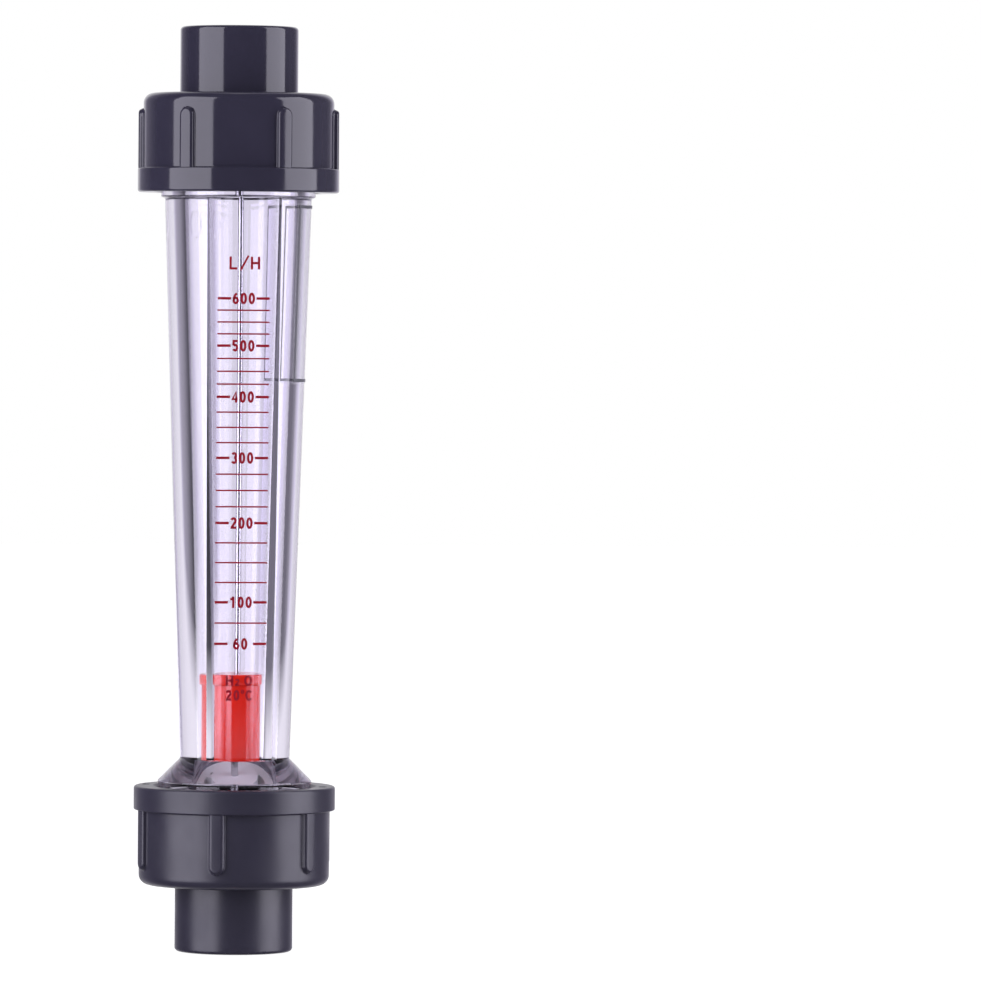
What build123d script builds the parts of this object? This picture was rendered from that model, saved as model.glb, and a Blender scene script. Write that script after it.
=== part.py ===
"""Variable-area water flow meter: a clear tapered tube with a float on a guide rod, held between
two union nuts and two pipe sockets. Millimetres, +Z up, origin at the centre of the lower rim."""
from build123d import *
from math import cos, radians, sin
import os

# Overall stack, measured along the axis from either end rim
overall_height = 204.6
stub_length = 14.75
nut_height = 21.9
nut_floor = 3.2
flange_thickness = 4.8
face_gap = 0.1

# Pipe socket that takes a 20 mm pipe
pipe_radius = 10.0
pipe_clearance = 0.1
socket_wall = 2.95
socket_depth = 16.0
socket_lead = 0.9
passage_radius = 8.0
stub_round = 1.0
flange_clearance = 0.35

# Union thread: plain lands at the pitch radius
thread_radius = 17.6
thread_clearance = 0.05
thread_lead = 0.55
thread_relief = 0.5
neck_length = 2.35
neck_showing = 1.15

# Union nut
nut_wall = 3.45
nut_ring_step = 1.2
nut_ring_height = 5.3
nut_corner = 2.2
nut_hole_clearance = 0.35
rib_count = 6
rib_width = 3.4
rib_setback = 3.5
rib_inset = 0.1
rib_bury = 1.0
rib_side_round = 0.75
ring_round = 0.3
mouth_round = 0.6
upper_rib_turn = 22.3
lower_rib_turn = -15.9
pin_hole_count = 4
pin_hole_radius = 0.9
pin_hole_inset = 2.45
pin_hole_depth = 2.5

# Clear measuring tube
tube_radius_low = 12.15
tube_taper = 0.033
tube_wall = 3.77
flat_depth = 2.4
flat_taper = 0.0344
throat_drop = 0.7
stop_seat_depth = 7.9
stop_shoulder = 2.55
end_chamfer = 0.5
gate_mark_radius = 3.0
gate_mark_depth = 0.2
gate_mark_drop = 5.9
gate_mark_azimuth = -131.0

# Rod stops, one in each end of the tube
stop_radius = 13.2
stop_clearance = 0.05
stop_ring_wall = 5.2
stop_spokes = 3
spoke_thickness = 1.6
hub_radius = 2.3
lower_hub_height = 9.8
upper_hub_height = 9.3
plate_radius = 5.85
plate_thickness = 1.5
stop_end_gap = 0.1

# Guide rod and what clamps it
rod_radius = 0.9
rod_clearance = 0.05
rod_tail = 3.6
washer_radius = 2.4
washer_thickness = 0.5
rod_nut_flats = 4.0
rod_nut_height = 1.8
rod_nut_dome = 1.75
bumper_radius = 2.6
bumper_thickness = 2.0
bumper_clearance = 0.05
lower_bumper_lift = 6.25

# Float
float_length = 20.55
float_throat_clearance = 0.28
float_collar_height = 2.35
float_collar_step = 0.5
float_nose_length = 0.6
float_nose_inset = 0.6
float_wall = 1.2
float_tube_radius = 1.8
float_bore_clearance = 0.1
core_clearance = 0.05
float_floor = 4.4
cap_web = 1.5
float_edge = 0.4

# Seal rings
seal_circle = 15.3
seal_radius = 1.0
seal_groove_width = 2.2
seal_groove_depth = 1.95

# Clear film label on the right of the tube
label_height = 40.0
label_drop = 1.1
label_thickness = 0.12
label_gap = 0.03
label_start = 48.0
label_sweep = 77.0

# Sizes worked out from the ones above
socket_radius = pipe_radius + pipe_clearance
stub_radius = socket_radius + socket_wall
nut_mouth = stub_length + nut_height
flange_start = stub_length + nut_floor + face_gap
flange_end = flange_start + flange_thickness
tube_end = flange_end + face_gap
nut_bore = thread_radius + thread_clearance
nut_body_radius = nut_bore + nut_wall
nut_ring_radius = nut_body_radius + nut_ring_step
pin_hole_circle = nut_ring_radius - pin_hole_inset
neck_radius = thread_radius - thread_relief
nut_hole = stub_radius + nut_hole_clearance
flange_radius = nut_bore - flange_clearance
rib_root = nut_body_radius - rib_bury
rib_reach = nut_ring_radius - rib_inset
neck_start = nut_mouth + neck_showing - neck_length
neck_end = nut_mouth + neck_showing
tube_top_shoulder = overall_height - neck_end
flare_top = neck_end + neck_radius - tube_radius_low
flat_distance_low = tube_radius_low - flat_depth
throat_top = flare_top - throat_drop
throat_radius = tube_radius_low - tube_wall
cavity_radius = stop_radius + stop_clearance - stop_shoulder
gate_mark_height = tube_top_shoulder - gate_mark_drop
stop_seat = tube_end + stop_seat_depth
stop_height = stop_seat_depth - stop_end_gap
rod_hole = rod_radius + rod_clearance
lower_hub_top = tube_end + lower_hub_height
upper_hub_low = overall_height - tube_end - upper_hub_height
float_collar_radius = throat_radius - float_throat_clearance
float_body_radius = float_collar_radius - float_collar_step
float_nose_radius = float_body_radius - float_nose_inset
lower_bumper_low = lower_hub_top + lower_bumper_lift
float_low = lower_bumper_low + bumper_thickness
float_top = float_low + float_length
float_shoulder = float_low + float_nose_length
core_bottom = float_low + float_floor
label_top = tube_top_shoulder - label_drop


def level(height, upper):
    """Height above the lower rim of a place that lies this far in from the end it belongs to."""
    return overall_height - height if upper else height


def tube_radius(z):
    """Outer radius of the tapered body of the tube at a height above the lower rim."""
    return tube_radius_low + tube_taper * (z - flare_top)


def bore_radius(z):
    """Radius of the tapered bore, one wall inside the outer surface."""
    return tube_radius(z) - tube_wall


def flat_distance(z):
    """Distance from the axis to the flat scale face."""
    return flat_distance_low + flat_taper * (z - flare_top)


def front_turn(azimuth):
    """Polar angle of a direction given in degrees to the right of the front."""
    return azimuth - 90.0


def half_section(points):
    """Closed outline of radius and height points, ready to be revolved about the vertical axis."""
    with BuildSketch(Plane.XZ) as outline:
        with BuildLine():
            Polyline(*points, close=True)
        make_face()
    return outline.sketch


def grip_rib(upper):
    """One grip rib, lying along +X: a bar with round ends and softened outer edges."""
    rib_start = stub_length + rib_setback
    rib_end = nut_mouth - nut_ring_height / 2
    rib_middle = level((rib_start + rib_end) / 2, upper)
    with BuildPart() as rib:
        with BuildSketch(Plane(origin=(rib_root, 0, rib_middle), x_dir=(0, 1, 0), z_dir=(1, 0, 0))):
            SlotOverall(rib_end - rib_start, rib_width, rotation=90)
        extrude(amount=rib_reach - rib_root)
        fillet(rib.faces().sort_by(Axis.X)[-1].edges(), rib_side_round)
    return rib.part


def union_nut(upper, rib_turn):
    """Ribbed union nut: floor with a hole for the stub, ribbed wall and a ring round its mouth."""
    ring_edge = nut_mouth - nut_ring_height
    rib = grip_rib(upper)
    with BuildPart() as nut:
        with BuildSketch(Plane.XZ):
            with BuildLine():
                Polyline(
                    (nut_hole, level(stub_length, upper)),
                    (nut_body_radius - nut_corner, level(stub_length, upper)),
                )
                RadiusArc(
                    (nut_body_radius - nut_corner, level(stub_length, upper)),
                    (nut_body_radius, level(stub_length + nut_corner, upper)),
                    nut_corner if upper else -nut_corner,
                )
                Polyline(
                    (nut_body_radius, level(stub_length + nut_corner, upper)),
                    (nut_body_radius, level(ring_edge, upper)),
                    (nut_ring_radius - ring_round, level(ring_edge, upper)),
                    (nut_ring_radius, level(ring_edge + ring_round, upper)),
                    (nut_ring_radius, level(nut_mouth - mouth_round, upper)),
                )
                RadiusArc(
                    (nut_ring_radius, level(nut_mouth - mouth_round, upper)),
                    (nut_ring_radius - mouth_round, level(nut_mouth, upper)),
                    mouth_round if upper else -mouth_round,
                )
                Polyline(
                    (nut_ring_radius - mouth_round, level(nut_mouth, upper)),
                    (nut_bore + thread_lead, level(nut_mouth, upper)),
                    (nut_bore, level(nut_mouth - thread_lead, upper)),
                    (nut_bore, level(stub_length + nut_floor, upper)),
                    (nut_hole, level(stub_length + nut_floor, upper)),
                    (nut_hole, level(stub_length, upper)),
                )
            make_face()
        revolve(axis=Axis.Z)
        with PolarLocations(0, rib_count, start_angle=front_turn(rib_turn)):
            add(rib)
        with BuildSketch(Plane.XY.offset(level(nut_mouth, upper))):
            with PolarLocations(pin_hole_circle, pin_hole_count, start_angle=front_turn(rib_turn)):
                Circle(pin_hole_radius)
        extrude(amount=pin_hole_depth if upper else -pin_hole_depth, mode=Mode.SUBTRACT)
    return nut


def pipe_socket(upper):
    """Socket for the pipe, with a stop for its end, and a flange that the union nut draws up."""
    groove_floor = flange_end - seal_groove_depth
    with BuildPart() as socket:
        revolve(half_section([
            (socket_radius + socket_lead, level(0, upper)),
            (stub_radius - stub_round, level(0, upper)),
            (stub_radius, level(stub_round, upper)),
            (stub_radius, level(flange_start, upper)),
            (flange_radius, level(flange_start, upper)),
            (flange_radius, level(flange_end, upper)),
            (seal_circle + seal_groove_width / 2, level(flange_end, upper)),
            (seal_circle + seal_groove_width / 2, level(groove_floor, upper)),
            (seal_circle - seal_groove_width / 2, level(groove_floor, upper)),
            (seal_circle - seal_groove_width / 2, level(flange_end, upper)),
            (passage_radius, level(flange_end, upper)),
            (passage_radius, level(socket_depth, upper)),
            (socket_radius, level(socket_depth, upper)),
            (socket_radius, level(socket_lead, upper)),
        ]), axis=Axis.Z)
    return socket


def seal_ring(upper):
    """Round seal ring lying on the floor of the groove in the flange."""
    centre_height = flange_end - seal_groove_depth + seal_radius
    with BuildPart() as ring:
        with BuildSketch(Plane.XZ):
            with Locations((seal_circle, level(centre_height, upper))):
                Circle(seal_radius)
        revolve(axis=Axis.Z)
    return ring


def rod_stop(upper, hub_height):
    """Spider that holds one end of the rod: a ring, spokes and a hub, which ends in a plate on the lower one."""
    base = level(tube_end, upper)
    inward = -1 if upper else 1
    with BuildPart() as stop:
        with BuildSketch(Plane.XY.offset(base)):
            Circle(stop_radius)
            Circle(stop_radius - stop_ring_wall, mode=Mode.SUBTRACT)
            with PolarLocations(stop_radius / 2, stop_spokes, start_angle=front_turn(0)):
                Rectangle(stop_radius - stop_ring_wall / 2, spoke_thickness)
        extrude(amount=inward * stop_height)
        with BuildSketch(Plane.XY.offset(base)):
            Circle(hub_radius)
        extrude(amount=inward * hub_height)
        if not upper:
            with BuildSketch(Plane.XY.offset(base + hub_height)):
                Circle(plate_radius)
            extrude(amount=-plate_thickness)
        with BuildSketch(Plane.XY.offset(base)):
            Circle(rod_hole)
        extrude(amount=inward * hub_height, mode=Mode.SUBTRACT)
    return stop


def ring_part(start, thickness, outer, inner):
    """Flat ring, such as a washer or a bumper, that stands this thick from its start height."""
    with BuildPart() as ring:
        with BuildSketch(Plane.XY.offset(start)):
            Circle(outer)
            Circle(inner, mode=Mode.SUBTRACT)
        extrude(amount=thickness)
    return ring


def rod_nut(upper):
    """Domed hexagon nut on the end of the rod."""
    seat = level(tube_end, upper)
    outward = 1 if upper else -1
    inner_face = seat + outward * washer_thickness
    dome_centre = inner_face + outward * rod_nut_height
    with BuildPart() as nut:
        with BuildSketch(Plane.XY.offset(inner_face)):
            RegularPolygon(rod_nut_flats / 2, 6, major_radius=False)
        extrude(amount=outward * rod_nut_height)
        with Locations((0, 0, dome_centre)):
            Sphere(rod_nut_dome)
        with BuildSketch(Plane.XY.offset(inner_face)):
            Circle(rod_radius)
        extrude(amount=outward * (rod_tail - washer_thickness), mode=Mode.SUBTRACT)
    return nut


def save(part, name):
    """Label a finished piece and write it to its own file."""
    part.part.label = name
    export_step(part.part, f"parts/{name}.step")


os.makedirs("parts", exist_ok=True)

# Measuring tube: one moulding with threaded ends, a flared foot, a collar and a flat scale face
upper_seat_level = level(stop_seat, True)
with BuildPart() as measuring_tube:
    revolve(half_section([
        (stop_radius + stop_clearance, level(tube_end, False)),
        (thread_radius - end_chamfer, level(tube_end, False)),
        (thread_radius, level(tube_end + end_chamfer, False)),
        (thread_radius, level(neck_start, False)),
        (neck_radius, level(neck_start, False)),
        (neck_radius, level(neck_end, False)),
        (tube_radius_low, flare_top),
        (tube_radius(tube_top_shoulder), tube_top_shoulder),
        (neck_radius, tube_top_shoulder),
        (neck_radius, level(neck_start, True)),
        (thread_radius, level(neck_start, True)),
        (thread_radius, level(tube_end + end_chamfer, True)),
        (thread_radius - end_chamfer, level(tube_end, True)),
        (stop_radius + stop_clearance, level(tube_end, True)),
        (stop_radius + stop_clearance, upper_seat_level),
        (bore_radius(upper_seat_level), upper_seat_level),
        (throat_radius, throat_top),
        (cavity_radius, throat_top),
        (cavity_radius, level(stop_seat, False)),
        (stop_radius + stop_clearance, level(stop_seat, False)),
    ]), axis=Axis.Z)
    with BuildSketch(Plane.YZ.offset(-nut_ring_radius)):
        with BuildLine():
            Polyline(
                (-flat_distance(flare_top), flare_top),
                (-flat_distance(tube_top_shoulder), tube_top_shoulder),
                (-nut_ring_radius, tube_top_shoulder),
                (-nut_ring_radius, flare_top),
                close=True,
            )
        make_face()
    extrude(amount=2 * nut_ring_radius, mode=Mode.SUBTRACT)
    mark_turn = radians(front_turn(gate_mark_azimuth))
    mark_reach = tube_radius(gate_mark_height) - gate_mark_depth
    mark_plane = Plane(
        origin=(mark_reach * cos(mark_turn), mark_reach * sin(mark_turn), gate_mark_height),
        z_dir=(cos(mark_turn), sin(mark_turn), 0),
    )
    with BuildSketch(mark_plane):
        Circle(gate_mark_radius)
    extrude(amount=2 * gate_mark_depth + gate_mark_radius, mode=Mode.SUBTRACT)
save(measuring_tube, "measuring_tube")

# Unions and sockets, the same at both ends
for end_name, is_upper, turn in (("upper", True, upper_rib_turn), ("lower", False, lower_rib_turn)):
    save(union_nut(is_upper, turn), f"{end_name}_union_nut")
    save(pipe_socket(is_upper), f"{end_name}_pipe_socket")
    save(seal_ring(is_upper), f"{end_name}_seal_ring")
    hub = upper_hub_height if is_upper else lower_hub_height
    save(rod_stop(is_upper, hub), f"{end_name}_stop")
    save(rod_nut(is_upper), f"{end_name}_rod_nut")
    washer_start = level(tube_end, is_upper) - (0 if is_upper else washer_thickness)
    save(ring_part(washer_start, washer_thickness, washer_radius, rod_hole), f"{end_name}_washer")
    bumper_start = upper_hub_low - bumper_thickness if is_upper else lower_bumper_low
    save(ring_part(bumper_start, bumper_thickness, bumper_radius, rod_radius + bumper_clearance),
         f"{end_name}_bumper")

# Guide rod through both hubs
with BuildPart() as guide_rod:
    with BuildSketch(Plane.XY.offset(level(tube_end + rod_clearance - rod_tail, False))):
        Circle(rod_radius)
    extrude(amount=overall_height - 2 * (tube_end + rod_clearance - rod_tail))
save(guide_rod, "guide_rod")

# Float: a red shell with a tube for the rod, a steel core inside it and a collared cap
core_top = float_top - float_collar_height
with BuildPart() as float_body:
    revolve(half_section([
        (rod_radius + float_bore_clearance, float_low),
        (float_nose_radius, float_low),
        (float_body_radius, float_shoulder),
        (float_body_radius, core_top),
        (float_body_radius - float_wall, core_top),
        (float_body_radius - float_wall, core_bottom),
        (float_tube_radius, core_bottom),
        (float_tube_radius, core_top),
        (rod_radius + float_bore_clearance, core_top),
    ]), axis=Axis.Z)
save(float_body, "float_body")

with BuildPart() as float_core:
    revolve(half_section([
        (float_tube_radius + core_clearance, core_bottom + core_clearance),
        (float_body_radius - float_wall - core_clearance, core_bottom + core_clearance),
        (float_body_radius - float_wall - core_clearance, core_top - cap_web),
        (float_tube_radius + core_clearance, core_top - cap_web),
    ]), axis=Axis.Z)
save(float_core, "float_core")

with BuildPart() as float_cap:
    revolve(half_section([
        (rod_radius + float_bore_clearance, core_top),
        (float_tube_radius + core_clearance, core_top),
        (float_tube_radius + core_clearance, core_top - cap_web + core_clearance),
        (float_body_radius - float_wall - core_clearance, core_top - cap_web + core_clearance),
        (float_body_radius - float_wall - core_clearance, core_top),
        (float_collar_radius, core_top),
        (float_collar_radius, float_top - float_edge),
        (float_collar_radius - float_edge, float_top),
        (rod_radius + float_bore_clearance, float_top),
    ]), axis=Axis.Z)
save(float_cap, "float_cap")

# Film label: a thin curved sheet that follows the taper of the tube
label_low = label_top - label_height
with BuildPart() as label_film:
    with BuildSketch(Plane.XZ.rotated((0, 0, front_turn(label_start)))):
        with BuildLine():
            Polyline(
                (tube_radius(label_low) + label_gap, label_low),
                (tube_radius(label_low) + label_gap + label_thickness, label_low),
                (tube_radius(label_top) + label_gap + label_thickness, label_top),
                (tube_radius(label_top) + label_gap, label_top),
                close=True,
            )
        make_face()
    revolve(axis=Axis.Z, revolution_arc=label_sweep)
save(label_film, "label_film")
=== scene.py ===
"""Looks of a variable area water flow meter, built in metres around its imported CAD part.

The file is laid out as a Blender add-on and is run as a script. Azimuths are degrees to the right of the
front, which is -Y: a point at azimuth a and radius r stands at x = r sin a, y = -r cos a."""
import math

import bmesh
import bpy
import numpy as np
from bpy.props import FloatProperty, FloatVectorProperty, IntProperty, PointerProperty
from mathutils import Matrix


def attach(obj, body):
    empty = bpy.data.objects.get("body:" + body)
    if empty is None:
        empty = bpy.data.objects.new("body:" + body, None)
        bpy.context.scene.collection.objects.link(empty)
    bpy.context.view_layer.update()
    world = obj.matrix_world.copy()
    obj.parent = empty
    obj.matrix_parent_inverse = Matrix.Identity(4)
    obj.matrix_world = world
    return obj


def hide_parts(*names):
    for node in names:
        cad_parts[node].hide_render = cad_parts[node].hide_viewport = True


bl_info = {
    "name": "Water Flow Meter",
    "version": (1, 0, 0),
    "blender": (4, 5, 0),
    "location": "3D View > Sidebar > Flow Meter",
    "description": "Builds a clear tapered flow meter between two union nuts and pipe sockets",
    "category": "Add Mesh",
}

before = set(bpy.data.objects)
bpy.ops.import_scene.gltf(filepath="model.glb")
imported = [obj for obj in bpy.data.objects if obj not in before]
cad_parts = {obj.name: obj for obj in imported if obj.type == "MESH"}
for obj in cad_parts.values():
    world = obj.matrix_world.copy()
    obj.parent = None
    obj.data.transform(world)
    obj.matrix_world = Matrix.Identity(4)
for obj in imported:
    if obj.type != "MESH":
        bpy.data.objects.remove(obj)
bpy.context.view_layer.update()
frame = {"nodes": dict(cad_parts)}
TURN = 2 * math.pi
MM = 0.001
# Middle range of a noise value
NOISE_LOW, NOISE_HIGH = 0.3, 0.7
# Depth of a moulded or drawn skin
SKIN_DEPTH = 0.01 * MM
# A length that counts as none
TINY = 0.001 * MM
# Gap between ink and what it is printed on
INK_GAP = 0.002 * MM
# Half angle, in radians, past which a corner counts as straight
STRAIGHT = 1.55
# Lengths at which points are merged and edges dissolved
WELD, SLIVER = 1e-7, 1e-8
# Width of a letter's box, and from its edge to the middle of the pen, over its height
GLYPH_WIDTH, GLYPH_EDGE = 0.56, 0.09


def length(name, description, millimetres):
    """A length property whose default is given in millimetres."""
    return FloatProperty(name=name, description=description, default=millimetres * MM, unit="LENGTH",
                         precision=5)


def angle(name, description, degrees):
    """An angle property whose default is given in degrees."""
    return FloatProperty(name=name, description=description, default=math.radians(degrees), unit="ROTATION")


def colour(name, description, red, green, blue):
    """A colour property."""
    return FloatVectorProperty(name=name, description=description, default=(red, green, blue),
                               subtype="COLOR", min=0.0, max=1.0, size=3)


def factor(name, description, value):
    """A plain share or ratio."""
    return FloatProperty(name=name, description=description, default=value, subtype="FACTOR")


class StackSizes(bpy.types.PropertyGroup):
    """Heights along the axis, counted from either end rim."""
    overall: length("Overall height", "Height from rim to rim", 204.6)
    stub: length("Stub length", "Length of pipe socket that shows outside a nut", 14.75)
    nut: length("Nut height", "Height of a union nut", 21.9)
    nut_floor: length("Nut floor", "Thickness of the floor of a union nut", 3.2)
    flange: length("Flange thickness", "Thickness of the socket's flange", 4.8)
    face_gap: length("Face gap", "Gap between faces drawn together", 0.1)
    neck_showing: length("Neck showing", "Height of tube neck that shows outside a nut", 1.15)
    neck: length("Neck length", "Height of the plain neck of the tube", 2.35)


class SocketSizes(bpy.types.PropertyGroup):
    """Pipe socket and its seal."""
    bore: length("Socket bore", "Radius of the bore that takes the pipe", 10.1)
    outside: length("Stub radius", "Outside radius of the socket", 13.05)
    depth: length("Socket depth", "Depth to the stop for the pipe", 16.0)
    passage: length("Passage radius", "Radius of the water's way past the stop", 8.0)
    flange: length("Flange radius", "Outside radius of the flange", 17.3)
    rim_round: length("Rim rounding", "Rounding of the outer edge of the rim", 1.0)
    seal_circle: length("Seal circle", "Radius of the circle that the seal ring follows", 15.3)
    seal: length("Seal radius", "Radius of the seal ring's own section", 1.0)
    groove: length("Groove depth", "Depth of the seal's groove", 1.95)


class NutSizes(bpy.types.PropertyGroup):
    """Ribbed union nut."""
    body: length("Body radius", "Radius of the wall between the ribs", 21.1)
    ring: length("Ring radius", "Radius of the ring round the mouth", 22.3)
    ring_height: length("Ring height", "Height of the ring round the mouth", 5.3)
    corner: length("Corner rounding", "Rounding of the closed end", 2.2)
    hole: length("Hole radius", "Radius of the hole for the stub", 13.4)
    rib_width: length("Rib width", "Width of a grip rib", 3.4)
    rib_height: length("Rib height", "How far a rib stands out of the wall", 1.1)
    rib_setback: length("Rib setback", "From the closed end to the end of a rib", 3.5)
    rib_round: length("Rib rounding", "Rounding of a rib's outer edges", 0.75)
    ribs: IntProperty(name="Ribs", description="Number of grip ribs", default=6, min=3, max=12)
    upper_turn: angle("Upper rib turn", "Azimuth of a rib of the upper nut", 22.3)
    lower_turn: angle("Lower rib turn", "Azimuth of a rib of the lower nut", -15.9)
    pin_hole: length("Pin hole radius", "Radius of the small holes in the ring's face", 0.9)
    pin_circle: length("Pin hole circle", "Radius of the circle of small holes", 19.85)
    pin_depth: length("Pin hole depth", "Depth of the small holes", 2.4)


class TubeSizes(bpy.types.PropertyGroup):
    """Clear measuring tube."""
    radius: length("Tube radius", "Radius at the foot of the tapered body", 12.15)
    taper: factor("Taper", "Growth of the radius with height", 0.033)
    wall: length("Wall", "Thickness of the wall", 3.77)
    flat: length("Flat distance", "Distance from the axis to the flat face, at its foot", 9.75)
    flat_taper: factor("Flat taper", "Growth of the flat face's distance with height", 0.0344)
    thread: length("Thread radius", "Pitch radius of the union thread", 17.6)
    thread_depth: length("Thread depth", "Half of the thread's height", 0.38)
    pitch: length("Thread pitch", "Pitch of the union thread", 3.0)
    neck: length("Neck radius", "Radius of the plain neck", 17.1)
    throat: length("Throat radius", "Radius of the bore's narrowest place", 8.38)
    throat_drop: length("Throat drop", "From the foot of the tapered body down to the throat", 0.7)
    cavity: length("Cavity radius", "Radius of the chamber under the throat", 10.7)
    seat: length("Stop seat radius", "Radius of the seat of a rod stop", 13.25)
    seat_depth: length("Stop seat depth", "Depth of the seat of a rod stop", 7.9)
    bore_offset: length("Bore offset", "How far the moulded bore lies to the right of the axis", 0.4)
    mark: length("Gate mark radius", "Radius of the round mark on the left", 3.0)
    mark_drop: length("Gate mark drop", "From the top shoulder down to the mark", 5.9)
    mark_depth: length("Gate mark depth", "Depth of the round mark", 0.2)
    mark_turn: angle("Gate mark azimuth", "Azimuth of the round mark", -131.0)
    undercut: length("Neck undercut", "How much slimmer the lower neck is at its nut", 0.5)
    lip_round: length("Lip rounding", "Rounding of the outer edges of the neck and the collar", 0.4)
    collar_fillet: length("Collar fillet", "Fillet between the tapered body and the upper collar", 0.5)
    seam_turn: angle("Mould seam azimuth", "Azimuth of the mould seam, left and right", 38.0)
    seam: length("Mould seam height", "How far the mould seam stands out", 0.05)


class RodSizes(bpy.types.PropertyGroup):
    """Guide rod, its stops and what clamps it."""
    radius: length("Rod radius", "Radius of the guide rod", 0.9)
    tail: length("Rod tail", "Length of rod outside a stop", 3.6)
    lower_hub: length("Lower hub height", "Height of the lower stop's hub", 9.8)
    upper_hub: length("Upper hub height", "Height of the upper stop's hub", 9.3)
    washer: length("Washer radius", "Radius of a washer", 2.4)
    washer_height: length("Washer thickness", "Thickness of a washer", 0.5)
    nut_flats: length("Nut width", "Width of the rod's nut across flats", 4.0)
    nut_height: length("Nut height", "Height of the rod's nut under its dome", 1.8)
    dome: length("Dome radius", "Radius of the nut's dome", 1.75)
    bumper: length("Bumper radius", "Radius of a rubber bumper", 2.6)
    bumper_height: length("Bumper thickness", "Thickness of a rubber bumper", 2.0)
    bumper_lift: length("Lower bumper lift", "From the lower stop's hub to the lower bumper", 6.25)


class FloatSizes(bpy.types.PropertyGroup):
    """Float on the guide rod."""
    length_: length("Float length", "Height of the float", 20.55)
    collar: length("Collar radius", "Radius of the collar that shows the flow", 8.1)
    collar_height: length("Collar height", "Height of the collar", 2.35)
    body: length("Body radius", "Radius of the float's body", 7.6)
    nose: length("Nose radius", "Radius of the float's lower end", 7.0)
    nose_length: length("Nose length", "Height of the float's lower chamfer", 0.6)


class PrintSizes(bpy.types.PropertyGroup):
    """Printed flow scale and film label."""
    width: length("Scale width", "Width of the scale lines", 11.5)
    dash: length("Dash length", "Length of the dashes beside a number", 2.95)
    major: length("Major line", "Thickness of the dashes beside a number", 0.56)
    minor: length("Minor line", "Thickness of the lines between numbers", 0.33)
    digit: length("Digit height", "Height of the numbers", 2.5)
    digit_step: length("Digit step", "From one digit to the next", 1.77)
    pen: length("Pen width", "Width of the strokes of numbers and letters", 0.52)
    ink: length("Ink thickness", "How far the ink stands on the face", 0.02)
    label_height: length("Label height", "Height of the film label", 40.0)
    label_drop: length("Label drop", "From the top shoulder to the label", 1.1)
    label_start: angle("Label start", "Azimuth of the label's front edge", 48.0)
    label_sweep: angle("Label sweep", "Angle that the label covers", 77.0)
    label_film: length("Film thickness", "Thickness of the film", 0.12)
    label_gap: length("Film gap", "Gap between the film and the tube", 0.03)
    frame_width: length("Frame width", "Width of the label's printed frame", 0.65)


class Finishes(bpy.types.PropertyGroup):
    """Colours."""
    pvc: colour("PVC", "Dark grey PVC of nuts and sockets", 0.028, 0.026, 0.043)
    clear: colour("Clear plastic", "Tint of the measuring tube", 0.9, 0.878, 0.955)
    film: colour("Label film", "Tint of the film label", 0.9, 0.9, 0.92)
    red: colour("Float red", "Red of the float", 0.88, 0.022, 0.008)
    white: colour("Stop white", "White of the rod stops", 0.88, 0.88, 0.87)
    steel: colour("Steel", "Stainless steel of the rod", 0.56, 0.56, 0.57)
    rubber: colour("Rubber", "Black of seals and bumpers", 0.018, 0.018, 0.019)
    ink: colour("Ink", "Red of the printed scale", 0.27, 0.001, 0.014)
    frame: colour("Label frame", "Grey of the label's printed frame", 0.10, 0.10, 0.115)


class StageSettings(bpy.types.PropertyGroup):
    """Camera, lights and floor."""
    distance: FloatProperty(name="Camera distance", description="From the object's axis", default=1.741,
                            unit="LENGTH")
    eye_height: FloatProperty(name="Eye height", description="Height of the camera", default=0.142,
                              unit="LENGTH")
    azimuth: angle("Camera azimuth", "Azimuth of the camera", -5.7)
    yaw: angle("Camera yaw", "How far the camera looks to the right of the object", 1.852)
    pitch: angle("Camera pitch", "How far the camera looks down", 1.301)
    roll: angle("Camera roll", "How far the camera rolls to the left", 0.44)
    lens: FloatProperty(name="Lens", description="Focal length in millimetres", default=288.4)
    box_light: FloatProperty(name="Softbox radiance", description="Brightness of the softboxes",
                             default=3.6)
    room_light: FloatProperty(name="Room light", description="Light of the room on the object",
                              default=0.25)
    floor_height: FloatProperty(name="Floor height", description="Height of the floor", default=-0.0002,
                                unit="LENGTH")


class FlowMeter(bpy.types.PropertyGroup):
    """All settings of the flow meter."""
    stack: PointerProperty(type=StackSizes)
    socket: PointerProperty(type=SocketSizes)
    nut: PointerProperty(type=NutSizes)
    tube: PointerProperty(type=TubeSizes)
    rod: PointerProperty(type=RodSizes)
    float_: PointerProperty(type=FloatSizes)
    print_: PointerProperty(type=PrintSizes)
    finish: PointerProperty(type=Finishes)
    stage: PointerProperty(type=StageSettings)


# Heights that several pieces share

def settings():
    """The flow meter's settings in this file."""
    return bpy.context.scene.flow_meter


def level(height, upper):
    """Height above the lower rim of a place this far in from the end it belongs to."""
    return settings().stack.overall - height if upper else height


def nut_mouth():
    """From a rim to the mouth of its nut."""
    s = settings().stack
    return s.stub + s.nut


def flange_end():
    """From a rim to the inner face of its flange."""
    s = settings().stack
    return s.stub + s.nut_floor + s.face_gap + s.flange


def tube_end():
    """From a rim to the end of the tube."""
    return flange_end() + settings().stack.face_gap


def neck_end():
    """From a rim to the inner end of the tube's neck."""
    return nut_mouth() + settings().stack.neck_showing


def thread_end():
    """From a rim to the end of the tube's thread, where its neck begins."""
    return neck_end() - settings().stack.neck


def flare_top():
    """Height of the foot of the tapered body: the flare rises at 45 degrees from the neck."""
    t = settings().tube
    return neck_end() + t.neck - t.radius


def top_shoulder():
    """Height of the upper end of the tapered body."""
    return level(neck_end(), True)


def tube_radius(z):
    """Outer radius of the tapered body: the foot's plus the taper times the height above the foot."""
    t = settings().tube
    return t.radius + t.taper * (z - flare_top())


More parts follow.
